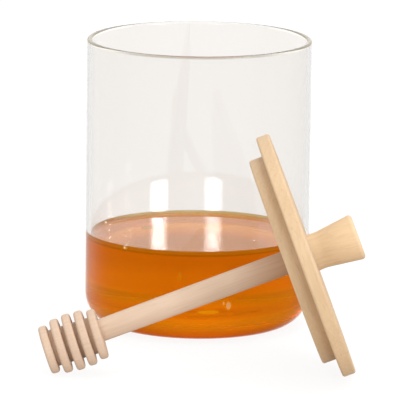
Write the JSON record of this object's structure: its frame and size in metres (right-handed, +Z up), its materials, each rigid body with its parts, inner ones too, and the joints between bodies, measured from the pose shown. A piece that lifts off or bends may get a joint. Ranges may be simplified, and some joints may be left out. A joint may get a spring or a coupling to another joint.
{
  "type": "honey pot with dipper",
  "caption": "Straight clear glass jar part filled with honey, with its wooden lid lying in front of it on its rim and a grooved wooden dipper through the lid.",
  "frame": {"origin": "middle of the jar's base, on the surface the jar stands on", "axes": "+Z up along the jar's axis; +Y away from the lid and dipper, which lie in front of the jar; +X towards the lid's side"},
  "size_m": [0.1259, 0.1882, 0.1155],
  "materials": {
    "clear_glass": "clear, polished, fire-polished rim",
    "honey": "stands in for clear amber honey, wet and glossy",
    "lid_wood": "pale yellowish beech, sanded, unvarnished",
    "knob_wood": "pale yellowish beech, turned and sanded",
    "dipper_wood": "pale pinkish beech, turned and sanded"
  },
  "bodies": {
    "root": {"jar": "clear_glass", "honey": "honey", "lid": "lid_wood", "knob": "knob_wood", "dipper": "dipper_wood"}
  },
  "joints": []
}
